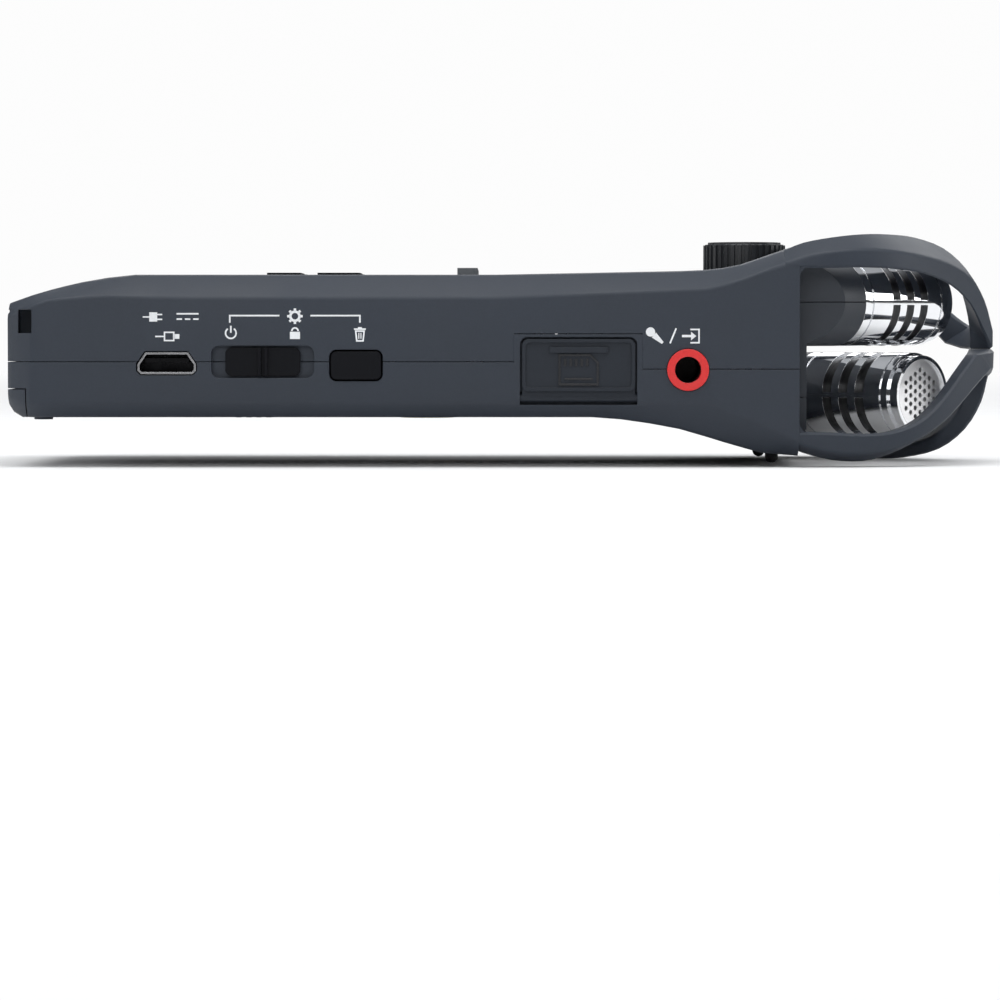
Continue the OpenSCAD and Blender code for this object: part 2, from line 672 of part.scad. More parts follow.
module mic_barrel() {
  color(chrome_col) on_mic_axis() rotate([0, 0, 90]) difference() {
    union() {
      ring_band(mic_r, sleeve_r + 0.03, -barrel_len, -1.6);
      ring_band(mic_r - 0.4, grille_r + 0.02, -1.7, 0);
      ring_band(sleeve_r + 0.2, 4.4, -1.8, -1.3);
    }
    for (i = [0:2]) difference() {
      ring_band(9, 2, -13.5 + i * slot_pitch, -13.5 + i * slot_pitch + slot_w);
      box(-12, 12, -0.35, 0.35, -16, 0);
    }
    for (z = [-17.9, -3]) ring_band(9, mic_r - 0.2, z, z + 0.3);
  }
}

module mic_grille() {
  color(metal_col) on_mic_axis() difference() {
    translate([0, 0, -1.2]) cylinder(r = grille_r, h = 0.8);
    for (i = [-3:3]) for (j = [-3:3]) if (abs(i + j) < 4)
      translate([i * 1.2 + j * 0.6, j * 1.039, -2]) cylinder(r = 0.34, h = 3, $fn = 16);
  }
}

module mic_sleeve() {
  color(dark_col) on_mic_axis() ring_band(sleeve_r, 4.85, -barrel_len + 0.1, -1.9);
}

module mic_capsule() {
  color(dark_col) on_mic_axis() translate([0, 0, -12.5]) cylinder(r = 4.8, h = 10.5);
}

module mic_stem() {
  on_mic_axis() difference() {
    union() {
      translate([0, 0, -32]) cylinder(r = mic_r, h = 32 - barrel_len - 0.02);
      translate([0, 0, -barrel_len - 1]) cylinder(r = 4.8, h = 4);
    }
    translate([0, 0, -40]) cylinder(r = 1.2, h = 40);
  }
}

module mic_stem_room(z0, z1) {
  box(head_x + 0.05, 130, -20.2, 20.2, z0, z1);
}

module cradle_half() {
  color(case_col) {
    intersection() {
      mic_stem();
      mic_stem_room(mid_z + barrel_rise + 0.05, 40);
    }
    box(head_x + 0.05, head_x + 1.3, -20.2, 20.2, mid_z + barrel_rise + 0.05, 27);
  }
}

module cradle_top() at_butt() {
  cradle_half();
}

module cradle_bottom() at_butt() {
  flipped_head() cradle_half();
}

module cradle_middle() at_butt() {
  half = barrel_rise - 0.05;
  color(case_col) {
    intersection() {
      mic_stem();
      mic_stem_room(mid_z - half, mid_z + half);
    }
    flipped_head() intersection() {
      mic_stem();
      mic_stem_room(mid_z - half, mid_z + half);
    }
    box(head_x + 0.05, head_x + 1.3, -20.2, 20.2, mid_z - half, mid_z + half);
  }
}

module speaker() at_butt() {
  color(dark_col) translate([speaker_x, 0, 6.9]) {
    ring_band(speaker_r, speaker_r - 1, 0, 2.2);
    translate([0, 0, 0.9]) cylinder(r = speaker_r - 0.9, h = 1.3);
  }
}

module battery_cells() at_butt() {
  color([0.75, 0.6, 0.25]) for (s = [-1, 1]) translate([4.7, s * cell_y, cell_z]) rotate([0, 90, 0]) {
    cylinder(d = cell_d, h = cell_len);
    translate([0, 0, cell_len - 0.1]) cylinder(r = 1.9, h = 1);
  }
}

module battery_contacts() at_butt() {
  color(metal_col) for (s = [-1, 1]) {
    box(50.4, 50.8, s * cell_y - 4, s * cell_y + 4, 10, 18);
    translate([50.5, s * cell_y, cell_z]) rotate([0, -90, 0]) cylinder(r1 = 3, r2 = 2, h = 1.2);
    box(2.9, 3.2, s * cell_y - 4, s * cell_y + 4, 10.9, 18);
    for (i = [0:2]) translate([3.35 + i * 0.45, s * cell_y, cell_z]) rotate([0, 90, 0])
      rotate_extrude() translate([3.2 - i * 0.5, 0]) circle(0.28, $fn = 16);
  }
}

module tripod_insert() at_butt() {
  color([0.72, 0.56, 0.3]) translate([tripod_x, 0, 6.3]) difference() {
    cylinder(r = tripod_r - 0.02, h = 5.95);
    translate([0, 0, -1]) cylinder(d = tripod_bore, h = 6.3);
  }
}

module casing_screws() at_butt() {
  color(metal_col) for (p = screw_at) translate([p[0], p[1], 0]) difference() {
    union() {
      translate([0, 0, 8.2]) cylinder(r = 1.8, h = 1.3);
      translate([0, 0, 9.4]) cylinder(r = 0.95, h = 10);
    }
    for (a = [0, 90]) rotate([0, 0, a]) translate([-1.1, -0.25, 8]) cube([2.2, 0.5, 0.8]);
  }
}

module head_feet() at_butt() {
  color(key_col) for (s = [-1, 1]) translate([105.2, s * 14, 0]) {
    translate([0, 0, 1]) cylinder(r = 0.9, h = 1.45);
    translate([0, 0, 1.2]) sphere(0.9, $fn = 32);
  }
}

module menu_button_a() at_butt() menu_button(0);

module menu_button_b() at_butt() menu_button(1);

module menu_button_c() at_butt() menu_button(2);

module menu_button_d() at_butt() menu_button(3);

module upper_mic_barrel() at_butt() mic_barrel();

module upper_mic_grille() at_butt() mic_grille();

module upper_mic_sleeve() at_butt() mic_sleeve();

module upper_mic_capsule() at_butt() mic_capsule();

module lower_mic_barrel() at_butt() flipped_head() mic_barrel();

module lower_mic_grille() at_butt() flipped_head() mic_grille();

module lower_mic_sleeve() at_butt() flipped_head() mic_sleeve();

module lower_mic_capsule() at_butt() flipped_head() mic_capsule();

upper_casing();
lower_casing();
battery_cover();
card_cover();
display_window();
display_module();
display_frame();
main_board();
board_chips();
side_board();
jack_board();
level_dial();
dial_shaft();
level_pot();
record_button();
stop_button();
play_button();
rewind_button();
forward_button();
menu_button_a();
menu_button_b();
menu_button_c();
menu_button_d();
tact_switches();
side_tacts();
slide_knob();
slide_switch();
delete_button();
volume_up();
volume_down();
card_socket();
usb_socket();
input_jack();
input_ring();
output_jack();
output_ring();
upper_mic_barrel();
upper_mic_grille();
upper_mic_sleeve();
upper_mic_capsule();
lower_mic_barrel();
lower_mic_grille();
lower_mic_sleeve();
lower_mic_capsule();
cradle_top();
cradle_middle();
cradle_bottom();
speaker();
battery_cells();
battery_contacts();
tripod_insert();
casing_screws();
head_feet();
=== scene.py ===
import math

import bmesh
import bpy
from mathutils import Matrix, Vector


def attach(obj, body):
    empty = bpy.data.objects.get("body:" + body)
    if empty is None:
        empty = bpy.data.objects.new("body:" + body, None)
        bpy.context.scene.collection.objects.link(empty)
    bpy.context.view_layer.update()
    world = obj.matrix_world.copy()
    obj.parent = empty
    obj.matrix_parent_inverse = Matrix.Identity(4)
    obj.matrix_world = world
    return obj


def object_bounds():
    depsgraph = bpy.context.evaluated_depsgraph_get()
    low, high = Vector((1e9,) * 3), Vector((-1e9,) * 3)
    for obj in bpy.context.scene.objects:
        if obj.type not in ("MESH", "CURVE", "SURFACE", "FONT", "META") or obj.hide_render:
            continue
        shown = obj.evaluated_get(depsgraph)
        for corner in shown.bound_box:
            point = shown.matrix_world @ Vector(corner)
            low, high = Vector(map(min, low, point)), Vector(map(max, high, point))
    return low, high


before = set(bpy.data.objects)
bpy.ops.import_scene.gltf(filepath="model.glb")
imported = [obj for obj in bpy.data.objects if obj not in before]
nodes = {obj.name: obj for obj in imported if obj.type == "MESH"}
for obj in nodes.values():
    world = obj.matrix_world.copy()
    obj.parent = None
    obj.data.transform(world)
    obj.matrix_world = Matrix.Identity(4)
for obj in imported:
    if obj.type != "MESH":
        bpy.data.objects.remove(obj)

for leftover in ("Cube", "Light", "Camera"):
    if leftover in bpy.data.objects:
        bpy.data.objects.remove(bpy.data.objects[leftover])
cad_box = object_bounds()
scene = bpy.context.scene
MM = 0.001
BUTT = -68.75  # the butt end's place along X, in mm


def at(x, y, z):
    """The frame's point, in metres, that is x mm from the butt end, y mm across and z mm up."""
    return Vector(((x + BUTT) * MM, y * MM, z * MM))


# ---------------------------------------------------------------- materials
class Graph:
    """A material under construction: add() makes a node, sets its values and links its inputs."""

    def __init__(self, name):
        self.mat = bpy.data.materials.new(name)
        self.mat.use_nodes = True
        self.tree = self.mat.node_tree
        self.tree.nodes.clear()
        self.out = self.add("ShaderNodeOutputMaterial")
        self.place = self.add("ShaderNodeTexCoord").outputs["Object"]

    def add(self, kind, values=None, **props):
        n = self.tree.nodes.new(kind)
        for k, v in props.items():
            setattr(n, k, v)
        for k, v in (values or {}).items():
            if isinstance(v, bpy.types.NodeSocket):
                self.tree.links.new(v, n.inputs[k])
            else:
                n.inputs[k].default_value = v
        return n

    def noise(self, size_mm, detail=3.0, rough=0.5, stretch=None, warp=0.0):
        """Noise between 0 and 1, with features of about size_mm."""
        place = self.place
        if stretch:
            place = self.add("ShaderNodeMapping", {"Vector": place, "Scale": stretch}).outputs[0]
        n = self.add("ShaderNodeTexNoise", {"Vector": place, "Scale": 1000.0 / size_mm, "Detail": detail,
                                            "Roughness": rough, "Distortion": warp})
        return n.outputs["Fac"]

    def math(self, op, a, b=0.0, clamp=False):
        return self.add("ShaderNodeMath", {0: a, 1: b}, operation=op, use_clamp=clamp).outputs[0]

    def spread(self, value, low, high, to_low, to_high):
        """The value moved from one range to another."""
        return self.add("ShaderNodeMapRange", {"Value": value, "From Min": low, "From Max": high,
                                               "To Min": to_low, "To Max": to_high}).outputs["Result"]

    def blend(self, factor, a, b):
        """Colour a where the factor is 0 and colour b where it is 1."""
        n = self.add("ShaderNodeMix", data_type="RGBA")
        for socket, v in ((n.inputs[0], factor), (n.inputs[6], a), (n.inputs[7], b)):
            if isinstance(v, bpy.types.NodeSocket):
                self.tree.links.new(v, socket)
            else:
                socket.default_value = v if isinstance(v, float) else (*v[:3], 1.0)
        return n.outputs[2]

    def edges(self, radius_mm):
        """Rounded normal, and a mask that is 1 along sharp edges."""
        rounded = self.add("ShaderNodeBevel", {"Radius": radius_mm * MM}, samples=4).outputs[0]
        true = self.add("ShaderNodeNewGeometry").outputs["Normal"]
        same = self.add("ShaderNodeVectorMath", {0: rounded, 1: true}, operation="DOT_PRODUCT")
        same = same.outputs["Value"]
        return rounded, self.spread(same, 0.985, 0.8, 0.0, 1.0)

    def bump(self, height, depth_mm, normal=None, strength=1.0):
        """A normal bent by the height, where a height of 1 stands depth_mm proud."""
        values = {"Height": height, "Distance": depth_mm * MM, "Strength": strength}
        if normal is not None:
            values["Normal"] = normal
        return self.add("ShaderNodeBump", values).outputs[0]

    def finish(self, values):
        """Connects a principled shader with these values, and gives the material."""
        shader = self.add("ShaderNodeBsdfPrincipled", values)
        self.tree.links.new(shader.outputs[0], self.out.inputs["Surface"])
        return self.mat


def scaled(color, k):
    return tuple(min(1.0, c * k) for c in color)


def moulded(name, color, rough, grain_mm=0.22, grain_deep=0.012, round_mm=0.16, wear_and_highlight=0.35, coat=0.0,
            specular=0.5):
    """Moulded plastic: fine spark grain, faint handling marks and lighter, smoother rubbed edges; a large
    edge amount paints a highlight there too.
    """
    g = Graph(name)
    marks = g.noise(14.0, 4.0, 0.6)
    fine = g.noise(grain_mm, 2.0, 0.6)
    rounded, edge = g.edges(round_mm)
    patchy = g.spread(g.noise(2.6, 3.0, 0.6), 0.42, 0.68, 0.0, 1.0)
    wear_and_highlight_mask = g.math("MULTIPLY", edge, g.math("MULTIPLY", patchy, wear_and_highlight))
    tone = g.blend(g.spread(marks, 0.3, 0.7, 0.0, 1.0), scaled(color, 0.92), scaled(color, 1.09))
    speck = g.blend(g.spread(fine, 0.35, 0.7, 0.0, 1.0), scaled(color, 0.9), scaled(color, 1.1))
    tone = g.blend(0.4, tone, speck)
    # Edges lightened: rubbed edges, and where the amount is large a painted highlight.
    tone = g.blend(wear_and_highlight_mask, tone, scaled(color, 2.4))
    base = g.spread(marks, 0.3, 0.7, rough - 0.05, rough + 0.05)
    polish = g.math("MULTIPLY", wear_and_highlight_mask, 0.25)
    return g.finish({"Base Color": tone, "Roughness": g.math("SUBTRACT", base, polish),
                     "Normal": g.bump(fine, grain_deep, rounded), "Coat Weight": coat,
                     "Coat Roughness": 0.12, "Specular IOR Level": specular})


def metal(name, color, rough, grain_mm, stretch=None, deep=0.002, round_mm=0.08, dull=0.06):
    """Bare or plated metal: fine finish lines or smudges, with slight tarnish in patches."""
    g = Graph(name)
    smudge = g.noise(5.0, 4.0, 0.6, warp=0.4)
    fine = g.noise(grain_mm, 3.0, 0.6, stretch)
    rounded = g.edges(round_mm)[0]
    tone = g.blend(g.spread(smudge, 0.35, 0.75, 0.0, 1.0), color, scaled(color, 0.9))
    value = g.spread(smudge, 0.3, 0.75, rough, rough + dull)
    return g.finish({"Base Color": tone, "Metallic": 1.0, "Roughness": value,
                     "Normal": g.bump(fine, deep, rounded)})


CASE = (0.024, 0.031, 0.044)
SATIN = {"grain_mm": 0.15, "grain_deep": 0.005, "round_mm": 0.2}
GLOSSY = {"grain_mm": 0.3, "grain_deep": 0.001, "wear_and_highlight": 0.15, "coat": 0.35}
INK = {"grain_mm": 0.12, "grain_deep": 0.002, "round_mm": 0.01, "wear_and_highlight": 0.0}
casing = moulded("case_plastic", CASE, 0.54, wear_and_highlight=0.22, specular=0.37)
cradle_plastic = moulded("cradle_plastic", scaled(CASE, 0.75), 0.5, wear_and_highlight=0.2)
flap_plastic = moulded("flap_plastic", scaled(CASE, 0.62), 0.58, wear_and_highlight=0.3, specular=0.3)
mark_plastic = moulded("raised_mark_plastic", (0.006, 0.007, 0.01), 0.36, grain_deep=0.004, wear_and_highlight=0.6)
key_plastic = moulded("key_plastic", (0.0035, 0.004, 0.006), 0.46, wear_and_highlight=0.5, specular=0.12, **SATIN)
# Strong edge lightening on the dial: a painted highlight on its knurls and rim, besides rubbing.
dial_plastic = moulded("dial_plastic", (0.016, 0.018, 0.021), 0.34, grain_mm=0.15, grain_deep=0.004,
                       round_mm=0.12, wear_and_highlight=1.2, specular=0.6)
grey_keys = moulded("menu_key_plastic", (0.11, 0.12, 0.13), 0.42, **SATIN)
black_plastic = moulded("inner_black_plastic", (0.012, 0.012, 0.014), 0.5, wear_and_highlight=0.15)
sleeve = moulded("sleeve_black", (0.006, 0.006, 0.007), 0.32, grain_mm=0.3, grain_deep=0.003, wear_and_highlight=0.1)
rubber = moulded("foot_rubber", (0.018, 0.018, 0.02), 0.72, grain_mm=0.35, grain_deep=0.02, wear_and_highlight=0.1)
red_ring = moulded("red_ring_plastic", (0.66, 0.02, 0.02), 0.22, **GLOSSY)
teal_ring = moulded("teal_ring_plastic", (0.008, 0.33, 0.27), 0.22, **GLOSSY)
white_print = moulded("white_print", (0.78, 0.8, 0.82), 0.5, **INK)
red_print = moulded("red_print", (0.7, 0.03, 0.02), 0.4, **INK)
black_print = moulded("window_border_print", (0.004, 0.004, 0.005), 0.35, **INK)
chrome = metal("mirror_chrome", (0.86, 0.87, 0.89), 0.035, 0.5, deep=0.0006, dull=0.05)
grille_metal = metal("pierced_grille", (0.93, 0.93, 0.94), 0.38, 0.18, dull=0.1)
steel = metal("plain_steel", (0.62, 0.62, 0.64), 0.22, 0.12, stretch=(1.0, 0.12, 1.0), dull=0.12)


THREAD_PITCH = 1.27  # mm, of the 1/4-20 tripod thread
PORT_SHADE = (-24.75, -24.45)  # mm across: where painted shade turns the port's shell from bright to dark
CELL_BAND = (36.5, 36.6)  # mm from the butt end: where the copper band starts
CELL_END = (48.15, 48.25)  # mm from the butt end: where the bare steel end starts
PIXEL = 0.32  # mm, the display's pixel grid


def make_brass():
    """Turned brass with its thread's ridges in the bore."""
    g = Graph("turned_brass")
    up = g.add("ShaderNodeSeparateXYZ", {"Vector": g.place}).outputs[2]
    ridge = g.math("SINE", g.math("MULTIPLY", up, 2 * math.pi / (THREAD_PITCH * MM)))
    smudge = g.noise(3.0, 3.0, 0.6)
    tone = g.blend(g.spread(smudge, 0.3, 0.7, 0.0, 1.0), (0.62, 0.42, 0.17), (0.78, 0.56, 0.26))
    return g.finish({"Base Color": tone, "Metallic": 1.0, "Normal": g.bump(ridge, 0.25, strength=0.8),
                     "Roughness": g.spread(smudge, 0.3, 0.7, 0.2, 0.36)})


def make_port():
    """Bright formed-steel rim, with shade painted a little way into the port's mouth, where it turns dark.
    """
    g = Graph("port_shell_steel")
    depth = g.add("ShaderNodeSeparateXYZ", {"Vector": g.place}).outputs[1]
    inside = g.spread(depth, PORT_SHADE[0] * MM, PORT_SHADE[1] * MM, 0.0, 1.0)
    rounded = g.edges(0.1)[0]
    # Painted shade: the steel is coloured near black inside the mouth.
    tone = g.blend(inside, (0.66, 0.66, 0.68), (0.012, 0.012, 0.013))
    return g.finish({"Base Color": tone, "Metallic": 1.0, "Normal": g.bump(g.noise(0.15), 0.002, rounded),
                     "Roughness": g.spread(g.noise(2.0), 0.3, 0.7, 0.2, 0.34)})


def make_board():
    """Solder-masked board with copper traces showing through the mask."""
    g = Graph("circuit_board")
    lanes = g.add("ShaderNodeTexBrick", {"Vector": g.place, "Scale": 420.0, "Mortar Size": 0.03,
                                         "Color1": (0, 0, 0, 1), "Color2": (0.35, 0.35, 0.35, 1),
                                         "Mortar": (1, 1, 1, 1)}).outputs["Color"]
    tone = g.blend(lanes, (0.012, 0.1, 0.05), (0.03, 0.2, 0.1))
    return g.finish({"Base Color": tone, "Roughness": g.spread(g.noise(4.0), 0.3, 0.7, 0.25, 0.4),
                     "Normal": g.bump(lanes, 0.02), "Coat Weight": 0.3})


def make_cells():
    """Printed cell jackets: a dark sleeve, a copper band nearer the head, and a bare steel end."""
    g = Graph("cell_jacket")
    along = g.add("ShaderNodeSeparateXYZ", {"Vector": g.place}).outputs[0]
    band = g.spread(along, (CELL_BAND[0] + BUTT) * MM, (CELL_BAND[1] + BUTT) * MM, 0.0, 1.0)
    end = g.spread(along, (CELL_END[0] + BUTT) * MM, (CELL_END[1] + BUTT) * MM, 0.0, 1.0)
    tone = g.blend(band, (0.03, 0.03, 0.035), (0.55, 0.3, 0.08))
    tone = g.blend(end, tone, (0.65, 0.65, 0.66))
    grain = g.noise(0.4, stretch=(0.1, 1.0, 1.0))
    return g.finish({"Base Color": tone, "Metallic": end, "Normal": g.bump(grain, 0.004), "Coat Weight": 0.2,
                     "Roughness": g.spread(g.noise(5.0), 0.3, 0.7, 0.28, 0.42)})


def make_lcd():
    """Reflective display glass over its grey-green rear film, with a fine pixel grid."""
    g = Graph("display_film")
    split = g.add("ShaderNodeSeparateXYZ", {"Vector": g.place})
    turns = 2 * math.pi / (PIXEL * MM)
    lines = [g.math("SINE", g.math("MULTIPLY", split.outputs[i], turns)) for i in (0, 1)]
    grid = g.math("MAXIMUM", lines[0], lines[1])
    tone = g.blend(g.spread(grid, 0.9, 1.0, 0.0, 1.0), (0.30, 0.34, 0.29), (0.26, 0.3, 0.26))
    return g.finish({"Base Color": tone, "Roughness": g.spread(g.noise(6.0), 0.3, 0.7, 0.22, 0.3),
                     "Normal": g.bump(grid, 0.002)})


def make_glass():
    """Clear hard-coated plastic, with faint wiping marks."""
    g = Graph("window_plastic")
    wipe = g.noise(3.0, 4.0, 0.6, stretch=(0.4, 1.6, 1.0))
    return g.finish({"Base Color": (0.72, 0.75, 0.78, 1.0), "Transmission Weight": 1.0, "IOR": 1.49,
                     "Roughness": g.spread(wipe, 0.35, 0.7, 0.02, 0.07), "Normal": g.bump(wipe, 0.00008)})


brass, port, board, jackets = make_brass(), make_port(), make_board(), make_cells()
film, glass = make_lcd(), make_glass()

FINISH = {
    casing: ["upper_casing", "lower_casing", "battery_cover"],
    flap_plastic: ["card_cover"],
    port: ["usb_socket"],
    cradle_plastic: ["cradle_top", "cradle_middle", "cradle_bottom"],
    dial_plastic: ["level_dial"],
    key_plastic: ["record_button", "stop_button", "play_button", "rewind_button", "forward_button",
                  "slide_knob", "delete_button", "volume_up", "volume_down"],
    grey_keys: ["menu_button_a", "menu_button_b", "menu_button_c", "menu_button_d"],
    black_plastic: ["display_frame", "board_chips", "input_jack", "output_jack", "upper_mic_capsule",
                    "lower_mic_capsule", "speaker"],
    sleeve: ["upper_mic_sleeve", "lower_mic_sleeve"],
    rubber: ["head_feet"],
    red_ring: ["input_ring"],
    teal_ring: ["output_ring"],
    chrome: ["upper_mic_barrel", "lower_mic_barrel"],
    grille_metal: ["upper_mic_grille", "lower_mic_grille"],
    steel: ["dial_shaft", "level_pot", "tact_switches", "side_tacts", "slide_switch", "card_socket",
            "battery_contacts", "casing_screws"],
    brass: ["tripod_insert"],
    board: ["main_board", "side_board", "jack_board"],
    jackets: ["battery_cells"],
    film: ["display_module"],
    glass: ["display_window"],
}


# ------------------------------------------------- shading of the CAD nodes
def smooth_by_angle(degrees):
    """A modifier's node group that shades smooth, apart from edges sharper than the angle."""
    g = bpy.data.node_groups.new(f"smooth_under_{degrees}", "GeometryNodeTree")
    g.interface.new_socket("Geometry", in_out="INPUT", socket_type="NodeSocketGeometry")
    g.interface.new_socket("Geometry", in_out="OUTPUT", socket_type="NodeSocketGeometry")
    start = g.nodes.new("NodeGroupInput")
    end = g.nodes.new("NodeGroupOutput")
    angle = g.nodes.new("GeometryNodeInputMeshEdgeAngle")
    test = g.nodes.new("FunctionNodeCompare")
    test.operation = "LESS_EQUAL"
    test.inputs["B"].default_value = math.radians(degrees)
    faces = g.nodes.new("GeometryNodeSetShadeSmooth")
    faces.domain = "FACE"
    lines = g.nodes.new("GeometryNodeSetShadeSmooth")
    lines.domain = "EDGE"
    g.links.new(angle.outputs["Unsigned Angle"], test.inputs["A"])
    g.links.new(start.outputs[0], faces.inputs[0])
    g.links.new(faces.outputs[0], lines.inputs[0])
    g.links.new(test.outputs["Result"], lines.inputs["Shade Smooth"])
    g.links.new(lines.outputs[0], end.inputs[0])
    return g


smooth_wide = smooth_by_angle(38)
smooth_round = smooth_by_angle(30)
WELD_REACH = 2e-6  # metres: faces of one solid share their corners again
HOOPED = {"upper_casing", "lower_casing"}  # the faceted guard needs the wider angle
for mat, names in FINISH.items():
    for name in names:
        o = nodes[name]
        for s in range(len(o.data.materials)):
            o.data.materials[s] = mat
        if "custom_normal" in o.data.attributes:
            o.data.attributes.remove(o.data.attributes["custom_normal"])
        weld = o.modifiers.new("join_faces", "WELD")
        weld.merge_threshold = WELD_REACH
        smooth = o.modifiers.new("smooth_shading", "NODES")
        smooth.node_group = smooth_wide if name in HOOPED else smooth_round
        even = o.modifiers.new("even_normals", "WEIGHTED_NORMAL")
        even.keep_sharp = True
        even.mode = "FACE_AREA_WITH_ANGLE" if name in HOOPED else "FACE_AREA"


# -------------------------------------------------------- printed pictograms
def circle(cx, cy, r, a0=0.0, a1=360.0, n=24):
    """Points on a circle, or on its arc from a0 to a1 degrees, in n steps."""
    full = abs(a1 - a0) >= 360.0
    return [(cx + r * math.cos(math.radians(a0 + (a1 - a0) * i / n)),
             cy + r * math.sin(math.radians(a0 + (a1 - a0) * i / n))) for i in range(n if full else n + 1)]


def line(points, width, closed=False):
    """Quads along a polyline, mitred at its corners."""
    n = len(points)
    sides = []
    for i, (x, y) in enumerate(points):
        before = points[i - 1] if i or closed else None
        after = points[(i + 1) % n] if i < n - 1 or closed else None
        steps = [Vector((b[0] - a[0], b[1] - a[1])).normalized()
                 for a, b in ((before, (x, y)), ((x, y), after)) if a is not None and b is not None]
        normals = [Vector((-d.y, d.x)) for d in steps]
        across = sum(normals, Vector((0.0, 0.0))).normalized()
        reach = width / 2 / max(0.5, across.dot(normals[0]))
        dx, dy = across.x * reach, across.y * reach
        sides.append(((x + dx, y + dy), (x - dx, y - dy)))
    last = n if closed else n - 1
    return [[sides[i][0], sides[i][1], sides[(i + 1) % n][1], sides[(i + 1) % n][0]] for i in range(last)]


def moved(shape, dx, dy, k=1.0, turn=0.0):
    """The faces turned by some degrees, scaled by k and shifted."""
    c, s = math.cos(math.radians(turn)), math.sin(math.radians(turn))
    return [[(dx + k * (x * c - y * s), dy + k * (x * s + y * c)) for x, y in face] for face in shape]


def box2(x0, x1, y0, y1):
    """One rectangle, as a list that holds its only face."""
    return [[(x0, y0), (x1, y0), (x1, y1), (x0, y1)]]


# u and v run along a face. h is measured across from the middle plane on the sides, and up on top.
SIDES = {
    "input": lambda u, v, h: at(u, -h, v),
    "output": lambda u, v, h: at(u, h, v),
    "top": lambda u, v, h: at(u, v, h),
}


def printed(name, faces, side, low, high, mat, body):
    """A thin piece for each outline, closed all round, from height low to high, in mm."""
    bm = bmesh.new()
    to = SIDES[side]
    for face in faces:
        lower = [bm.verts.new(to(u, v, low)) for u, v in face]
        upper = [bm.verts.new(to(u, v, high)) for u, v in face]
        bm.faces.new(lower)
        bm.faces.new(upper)
        for i in range(len(face)):
            j = (i + 1) % len(face)
            bm.faces.new((lower[i], lower[j], upper[j], upper[i]))
    bmesh.ops.recalc_face_normals(bm, faces=bm.faces)
    mesh = bpy.data.meshes.new(name)
    bm.to_mesh(mesh)
    bm.free()
    mesh.materials.append(mat)
    o = bpy.data.objects.new(name, mesh)
    scene.collection.objects.link(o)
    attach(o, body)


# Pictograms, each drawn about its own middle in mm. W is the width of a printed line.
W = 0.22
dc_mark = box2(-1.5, 1.5, 0.32, 0.54)
for left, right in ((-1.5, -0.75), (-0.37, 0.37), (0.75, 1.5)):
    dc_mark += box2(left, right, -0.4, -0.18)
plug_mark = (box2(-0.9, 0.3, -0.7, 0.7) + box2(0.3, 1.05, 0.26, 0.48) + box2(0.3, 1.05, -0.48, -0.26)
             + box2(-1.9, -0.9, -0.11, 0.11))
lead_mark = (line([(-0.5, -0.62), (0.9, -0.62), (0.9, 0.62), (-0.5, 0.62)], W, True)
             + box2(0.95, 1.75, -0.36, 0.36) + box2(-1.9, -0.6, -0.11, 0.11))
power_mark = line(circle(0, 0, 0.72, 125, 415, 20), W) + box2(-0.11, 0.11, 0.05, 1.0)
lock_mark = box2(-0.72, 0.72, -0.85, 0.2) + line(circle(0, 0.3, 0.45, 0, 180, 12), W)
bin_mark = (line([(-0.6, 0.45), (-0.45, -0.95), (0.45, -0.95), (0.6, 0.45)], W, True)
            + box2(-0.85, 0.85, 0.62, 0.84) + box2(-0.28, 0.28, 0.84, 1.02)
            + box2(-0.22, -0.08, -0.65, 0.2) + box2(0.08, 0.22, -0.65, 0.2))
mic_mark = moved([circle(-0.95, 0, 0.72, n=20)] + [[(-0.25, -0.5), (1.6, -0.2), (1.6, 0.2), (-0.25, 0.5)]],
                 0, 0, 1.0, -42)
slash_mark = line([(-0.42, -1.0), (0.42, 1.05)], W)
arrow = [[(0.2, 0.62), (0.2, 0.17), (-1.1, 0.17), (-1.1, -0.17), (0.2, -0.17), (0.2, -0.62), (0.95, 0)]]
in_mark = arrow + line([(0.1, 0.95), (1.35, 0.95), (1.35, -0.95), (0.1, -0.95)], W)
out_mark = moved(arrow, 0.75, 0) + line([(0.35, 0.95), (-0.9, 0.95), (-0.9, -0.95), (0.35, -0.95)], W)
phones_mark = (line(circle(0, -0.1, 1.25, -8, 188, 22), 0.26) + box2(-1.5, -0.95, -1.3, -0.2)
               + box2(0.95, 1.5, -1.3, -0.2))
horn = [(-1.3, -0.42), (-0.75, -0.42), (-0.05, -1.0), (-0.05, 1.0), (-0.75, 0.42), (-1.3, 0.42)]
sound_mark = ([horn] + line(circle(-0.1, 0, 0.7, -48, 48, 10), W)
              + line(circle(-0.1, 0, 1.25, -48, 48, 12), W))


def cog_mark(teeth=8):
    faces = line(circle(0, 0, 0.62, n=24), 0.34, True)
    for i in range(teeth):
        faces += moved(box2(0.72, 1.05, -0.17, 0.17), 0, 0, 1.0, i * 360 / teeth)
    return faces


def mirrored(shape):
    return [[(-x, y) for x, y in face] for face in shape]


